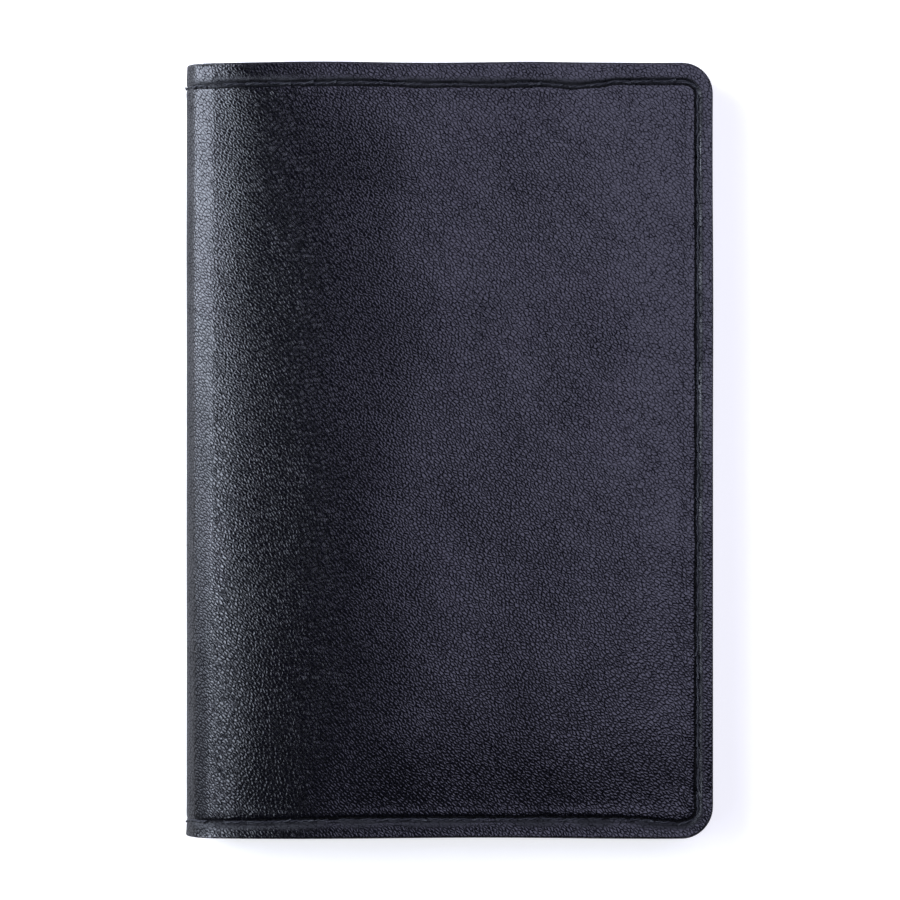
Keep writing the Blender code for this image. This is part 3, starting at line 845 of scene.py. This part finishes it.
def stitch_tree():
    """Geometry nodes that lay a two-ply stitch on each point, along its ahead and outward vectors."""
    tree, given, result = new_group(
        "seam stitches",
        [("Geometry", "Geometry", None), ("Stitch Length", "Float", 0.003),
         ("Thread Width", "Float", 0.0005), ("Dive", "Float", 0.0003), ("Unevenness", "Float", 0.12),
         ("Seed", "Int", 5), ("Thread", "Material", None)],
        [("Geometry", "Geometry", None)], "GeometryNodeTree")

    def shape(kind, **values):
        return node(tree, f"GeometryNode{kind}", **values).outputs[0]

    length, width = given["Stitch Length"], given["Thread Width"]
    ply_offset = times(tree, width, 0.22)
    spiral = shape("CurveSpiral", Resolution=9, Rotations=1.25, Start_Radius=ply_offset,
                   End_Radius=ply_offset, Height=length)
    other = shape("Transform", Geometry=spiral, Rotation=(0.0, 0.0, math.pi))
    plies = tree.nodes.new("GeometryNodeJoinGeometry")
    wire(tree, spiral, plies.inputs[0])
    wire(tree, other, plies.inputs[0])
    ring = shape("CurvePrimitiveCircle", Resolution=6, Radius=times(tree, width, 0.30))
    tube = shape("CurveToMesh", Curve=plies.outputs[0], Profile_Curve=ring, Fill_Caps=True)
    shift = node(tree, "ShaderNodeCombineXYZ", X=times(tree, length, -0.5))
    lie = shape("Transform", Geometry=tube, Translation=shift.outputs[0],
                Rotation=(0.0, math.pi / 2, 0.0))
    where = node(tree, "ShaderNodeSeparateXYZ", Vector=shape("InputPosition"))
    along = maths(tree, "DIVIDE", where.outputs[0], length)
    from_middle = maths(tree, "ABSOLUTE", times(tree, along, 2.0))
    dive = times(tree, maths(tree, "POWER", from_middle, 3.0), given["Dive"])
    down = node(tree, "ShaderNodeCombineXYZ", Z=times(tree, dive, -1.0))
    arched = shape("SetPosition", Geometry=lie, Offset=down.outputs[0])
    facing = tree.nodes.new("FunctionNodeAxesToRotation")
    facing.primary_axis = "X"
    facing.secondary_axis = "Z"
    for label, socket in zip(("ahead", "outward"), facing.inputs):
        named = node(tree, "GeometryNodeInputNamedAttribute", Name=label)
        named.data_type = "FLOAT_VECTOR"
        wire(tree, named.outputs[0], socket)
    rows = shape("InstanceOnPoints", Points=given["Geometry"], Instance=arched,
                 Rotation=facing.outputs[0])
    jitter = node(tree, "FunctionNodeRandomValue", Seed=given["Seed"])
    jitter.data_type = "FLOAT_VECTOR"
    for sign, socket in zip((-1.0, 1.0), jitter.inputs):
        limit = node(tree, "ShaderNodeCombineXYZ", X=3.1 * sign,
                     Y=times(tree, given["Unevenness"], 0.3 * sign),
                     Z=times(tree, given["Unevenness"], 0.5 * sign))
        wire(tree, limit.outputs[0], socket)
    turned = shape("RotateInstances", Instances=rows, Rotation=jitter.outputs[0])
    smooth = shape("SetShadeSmooth", Geometry=shape("RealizeInstances", Geometry=turned))
    dressed = shape("SetMaterial", Geometry=smooth, Material=given["Thread"])
    wire(tree, dressed, result.inputs[0])
    return tree


STITCHES = stitch_tree()


def stitch_row(name, middles, aheads, outwards, length, seed):
    """Stitches at these points, made a plain mesh."""
    mesh = bpy.data.meshes.new(name)
    mesh.from_pydata([tuple(p) for p in middles], [], [])
    for label, vectors in (("ahead", aheads), ("outward", outwards)):
        stored = mesh.attributes.new(label, "FLOAT_VECTOR", "POINT")
        stored.data.foreach_set("vector", np.asarray(vectors, np.float32).ravel())
    points = in_scene(name + "_points", mesh)
    modifier = points.modifiers.new("stitches", "NODES")
    modifier.node_group = STITCHES
    chosen = {"Stitch Length": length, "Thread Width": THREAD_WIDTH / 1000, "Dive": STITCH_ARCH / 1000,
              "Unevenness": 0.12, "Seed": seed, "Thread": THREAD}
    for item in STITCHES.interface.items_tree:
        if item.in_out == "INPUT" and item.name in chosen:
            modifier[item.identifier] = chosen[item.name]
    evaluated = points.evaluated_get(bpy.context.evaluated_depsgraph_get())
    made = in_scene(name, bpy.data.meshes.new_from_object(evaluated))
    bpy.data.objects.remove(points)
    return made


def on_hide(s, y, step_s, step_y):
    """Place, direction and outward normal at a point of the sunk thread."""
    middle = folded(s, y, THREAD_DEPTH)
    ahead = (folded(s + step_s * 0.1, y + step_y * 0.1, THREAD_DEPTH)
             - folded(s - step_s * 0.1, y - step_y * 0.1, THREAD_DEPTH))
    outward = folded(s, y, -1.0) - folded(s, y, 0.0)
    return middle, ahead / np.linalg.norm(ahead), outward / np.linalg.norm(outward)


def cover_seam(name, length, turned):
    path_e, path_y, out_e, out_y = rim_path(SEAM_OPEN, length)
    way = seam_way(path_e, path_y)
    path_s = HIDE_LENGTH - path_e if turned else path_e
    path_e, path_y = drifted(path_e, path_y, out_e, out_y, path_s)
    reach = way[-1] - STRIP / 2
    count = round(reach / STITCH_PITCH)
    pitch = reach / count
    rows = []
    for i in range(-1, count + 1):
        at = (i + 0.5) * pitch
        if at < way[0] + pitch / 2 or at > way[-1] - pitch / 2:
            continue
        e, y = np.interp(at, way, path_e), np.interp(at, way, path_y)
        next_e, next_y = np.interp(at + 0.2, way, path_e), np.interp(at + 0.2, way, path_y)
        s, step_s = (HIDE_LENGTH - e, e - next_e) if turned else (e, next_e - e)
        rows.append(on_hide(s, y, step_s * 5, (next_y - y) * 5))
    middles, aheads, outwards = zip(*rows)
    return stitch_row(name, middles, aheads, outwards, pitch * 1.02 / 1000, 7 if turned else 8)


for name, length, body, turned in (("front_seam", HIDE_LENGTH - HUMP_START, "front", True),
                                   ("back_seam", BACK_FLAT, "back", False)):
    seam = cover_seam(name, length, turned)
    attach(seam, body)
    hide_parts(name.replace("seam", "thread"))
for number in range(1, STRIPS + 1):
    middle_s = BACK_FLAT + number * STRIP
    rows = [on_hide(middle_s, TOP - SEAM_TOP - float(seam_drift(middle_s, 1)), 1.0, 0.0),
            on_hide(middle_s, -TOP + SEAM_BOTTOM + float(seam_drift(middle_s, -1)), 1.0, 0.0)]
    seam = stitch_row(f"spine_seam_{number}", *zip(*rows), STRIP * 0.98 / 1000, 20 + number)
    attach(seam, f"spine_{number}")
    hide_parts(f"spine_thread_top_{number}", f"spine_thread_bottom_{number}")


# Insert: an album of clear soft vinyl. Its film runs from pocket to pocket over the lining, and
# on the spine each strip of it has a welded web that holds one sleeve page of two films.
def film_look():
    """Clear vinyl: hardly seen straight on, milky and shiny at a glancing view, which is a
    painted reflection that lets its whitish colour show, and milky and shiny along the welds.
    """
    made, tree, shader = new_material("clear vinyl")
    place = tree.nodes.new("ShaderNodeTexCoord").outputs["Object"]
    haze = noise(tree, place, 130.0, 3.0)
    ripple = noise(tree, place, 55.0, 2.0)
    weld = attribute(tree, "weld")
    split = node(tree, "ShaderNodeSeparateXYZ", Vector=place)
    ribs = maths(tree, "SINE", times(tree, split.outputs[1], 9000.0))
    # painted reflection: the film's whitish colour shows more at a glancing view
    painted_sheen_by_angle = node(tree, "ShaderNodeLayerWeight", Blend=0.35)
    cover = times_plus(tree, painted_sheen_by_angle.outputs["Facing"], 0.26, 0.05)
    cover = times_plus(tree, haze, 0.04, cover)
    cover = times_plus(tree, weld, 0.22, cover, clamp=True)
    feed(tree, shader, Base_Color=blended(tree, haze, (0.48, 0.52, 0.55), (0.64, 0.68, 0.70)),
         Alpha=cover, Roughness=times_plus(tree, weld, 0.25, 0.10))
    bumped(tree, times_plus(tree, times(tree, ribs, weld), 0.06, ripple), 0.0004, shader, 0.5)
    return made


FILM = film_look()
TAB_DEPTH = 1.55
TAB_FILM = 0.15
TAB_PLAY = 1.2
PAGE_FILM = 0.12
CARD_SLOT = 0.15
PAGE_CORNER = 3.0
WELD_INSET = 1.4
NOTCH_RADIUS = 9.0


def page(number):
    """One sleeve: a back film and a front film, welded along three sides and open at the top,
    where the front film has a thumb notch."""
    box_low, box_high = (corner * 1000 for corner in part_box(f"page_{number}_back_film"))
    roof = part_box(f"page_{number}_front_film")[1].z * 1000
    x_range, y_range = (box_low.x, box_high.x), (box_low.y, box_high.y)
    middle = (box_low.z + roof) / 2

    def from_edge(x, y):
        """Distance from the nearest welded side."""
        return np.minimum(np.minimum(x - x_range[0], x_range[1] - x), y - y_range[0])

    def weld(x, y):
        return np.clip(1 - np.abs(from_edge(x, y) - 0.8) / 0.65, 0, 1) ** 0.5

    def under(x, y, side):
        """The lower face of a film: the two lie a little apart within the weld."""
        apart = side * np.clip((from_edge(x, y) - WELD_INSET) / 1.2, 0, 1) * CARD_SLOT / 2
        return middle + 0.035 * waves(x, y, 38, 60 + number) + apart - (PAGE_FILM if side < 0 else 0)

    def placed(x, y, z):
        return np.stack([x, y, z], axis=-1) / 1000

    lines = []
    for inset in (0.25, 0.5, 0.8, 1.1, 1.4, 1.8, 2.2, 2.6):
        lines += rounded_outline((x_range[0] + inset, x_range[1] - inset),
                                 (y_range[0] + inset, y_range[1] - 0.4),
                                 max(PAGE_CORNER - inset, 0.5), False, True, 1.2)
    grid = grid_inside((x_range[0] + 4, x_range[1] - 4), (y_range[0] + 4, y_range[1] - 14), 4.0)
    for part, side in (("back", -1), ("front", 1)):
        outline = rounded_outline(x_range, y_range, PAGE_CORNER, False, True, 1.2)
        inside = lines
        if part == "front":
            centre_x, cut_y = (x_range[0] + x_range[1]) / 2, y_range[1] - 0.6
            notch = [(centre_x + NOTCH_RADIUS * math.cos(a), cut_y - NOTCH_RADIUS * math.sin(a))
                     for a in np.linspace(0, math.pi, 25)]
            start = next(i for i, p in enumerate(outline) if p[1] >= cut_y - 0.3)
            outline = outline[:start] + notch + [p for p in outline[start:] if p[1] < cut_y - 0.3]
            inside = [p for p in lines if p[1] < cut_y - 0.8
                      and math.hypot(p[0] - centre_x, p[1] - cut_y) > NOTCH_RADIUS + 0.6]
        film = thin_sheet(f"page_{number}_{part}", outline, inside + grid,
                          lambda x, y: under(x, y, side) + PAGE_FILM, lambda x, y: under(x, y, side),
                          FILM, (("weld", weld),), placed)
        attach(film, f"spine_{number}")
        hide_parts(f"page_{number}_{part}_film")


for number in range(1, STRIPS + 1):
    page(number)


def tab(name, turned):
    """The end sheet of the insert, which slides into a pocket."""
    low = SEAM_OPEN + TAB_PLAY
    y_range = (-TOP + SEAM_BOTTOM + TAB_PLAY, TOP - SEAM_TOP - TAB_PLAY)
    s_range, grid_range = (low, BACK_FLAT), (low + 4, BACK_FLAT - 3)
    if turned:
        s_range, grid_range = (HUMP_START, HIDE_LENGTH - low), (HUMP_START + 3, HIDE_LENGTH - low - 4)
    outline = rounded_outline(s_range, y_range, PAGE_CORNER, not turned, turned, 1.5)
    inside = grid_inside(grid_range, (y_range[0] + 4, y_range[1] - 4), 5.0)
    made = thin_sheet(name, outline, inside, lambda s, y: TAB_DEPTH, lambda s, y: TAB_DEPTH + TAB_FILM,
                      FILM, (("weld", lambda s, y: 0 * s),))
    return made


for name, body, turned in (("back_tab_film", "back", False), ("front_tab_film", "front", True)):
    sheet_tab = tab(name, turned)
    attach(sheet_tab, body)
    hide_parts(f"insert_{body}_tab")
for number in range(1, STRIPS + 1):
    weld_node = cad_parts[f"insert_weld_{number}"]
    weld_node.data.materials.clear()
    weld_node.data.materials.append(FILM)


# Table and light: a plain pale table in a room with pale walls and a dark ceiling, a soft light
# from the left that draws the bright line along the rounded spine, and soft panels overhead to the
# right that light the front cover.
def floor_look():
    made, tree, shader = new_material("pale table")
    paths = tree.nodes.new("ShaderNodeLightPath").outputs
    seen = maths(tree, "MAXIMUM", paths["Is Camera Ray"],
                 maths(tree, "MAXIMUM", paths["Is Glossy Ray"], paths["Is Transmission Ray"]))
    place = tree.nodes.new("ShaderNodeTexCoord").outputs["Object"]
    speckle = noise(tree, place, 40.0, 2.0)
    feed(tree, shader, Base_Color=blended(tree, speckle, (0.60, 0.60, 0.60), (0.64, 0.64, 0.64)),
         Roughness=0.9, Emission_Color=(1.0, 1.0, 1.0, 1.0),
         Emission_Strength=times(tree, seen, 0.65))
    return made


TABLE_HALF = 2.0
TABLE_Z = -0.0002
floor_mesh = bpy.data.meshes.new("table")
corners = [(x * TABLE_HALF, y * TABLE_HALF, TABLE_Z) for x, y in ((-1, -1), (1, -1), (1, 1), (-1, 1))]
floor_mesh.from_pydata(corners, [], [(0, 1, 2, 3)])
floor_mesh.materials.append(floor_look())
table = in_scene("table", floor_mesh)


def softbox(name, centre, aim, size, radiance, colour, turn=0.0):
    """A soft panel of this radiance that looks along aim, turned by this many degrees in its own
    plane, and isn't seen itself."""
    light = bpy.data.lights.new(name, "AREA")
    light.shape = "RECTANGLE"
    light.size, light.size_y = size
    light.energy = radiance * math.pi * size[0] * size[1]
    light.color = colour
    panel = in_scene(name, light)
    panel.location = centre
    panel.rotation_euler = Vector(aim).to_track_quat("-Z", "Y").to_euler()
    panel.rotation_euler.rotate_axis("Z", math.radians(turn))
    panel.visible_camera = False


ACROSS = (0.20, 0.0, -0.04)
DOWN_NEAR = (0.0, -0.0001, -0.90)
DOWN_FAR = (0.0, 0.0001, -0.50)
COOL = (0.90, 0.98, 1.16)
NAVY = (0.92, 0.91, 1.34)
PANEL_TURN = 15.5
softbox("left wall, far", (-0.36, 0.17, 0.31), ACROSS, (0.30, 0.60), 8.8, COOL)
softbox("left wall, middle low", (-0.36, -0.02, 0.27), ACROSS, (0.08, 0.46), 2.6, COOL)
softbox("left wall, middle high", (-0.36, -0.02, 0.66), ACROSS, (0.08, 0.32), 8.5, COOL)
softbox("left wall, near", (-0.36, -0.17, 0.45), ACROSS, (0.22, 0.66), 0.45, COOL)
softbox("left wall, near high", (-0.36, -0.115, 0.63), ACROSS, (0.17, 0.27), 1.3, COOL)
softbox("left canopy, near", (-0.365, -0.15, 0.90), DOWN_NEAR, (0.13, 0.20), 4.8, COOL)
softbox("right panel", (0.2268, 0.2180, 0.50), DOWN_FAR, (0.50, 0.56), 1.98, NAVY, PANEL_TURN)
softbox("right panel, far", (0.2070, 0.2893, 0.50), DOWN_FAR, (0.50, 0.41), 0.56, NAVY, PANEL_TURN)
world = bpy.data.worlds.new("room")
bpy.context.scene.world = world
world.use_nodes = True
room = world.node_tree
generated = room.nodes.new("ShaderNodeTexCoord").outputs["Generated"]
direction = node(room, "ShaderNodeSeparateXYZ", Vector=generated)
feed(room, room.nodes["Background"], Color=(0.93, 0.96, 1.0, 1.0),
     Strength=ramped(room, direction.outputs[2], 0.15, 0.42, 0.26, 0.025))

bpy.context.scene.view_settings.view_transform = "Standard"
bpy.context.scene.cycles.transparent_max_bounces = 32
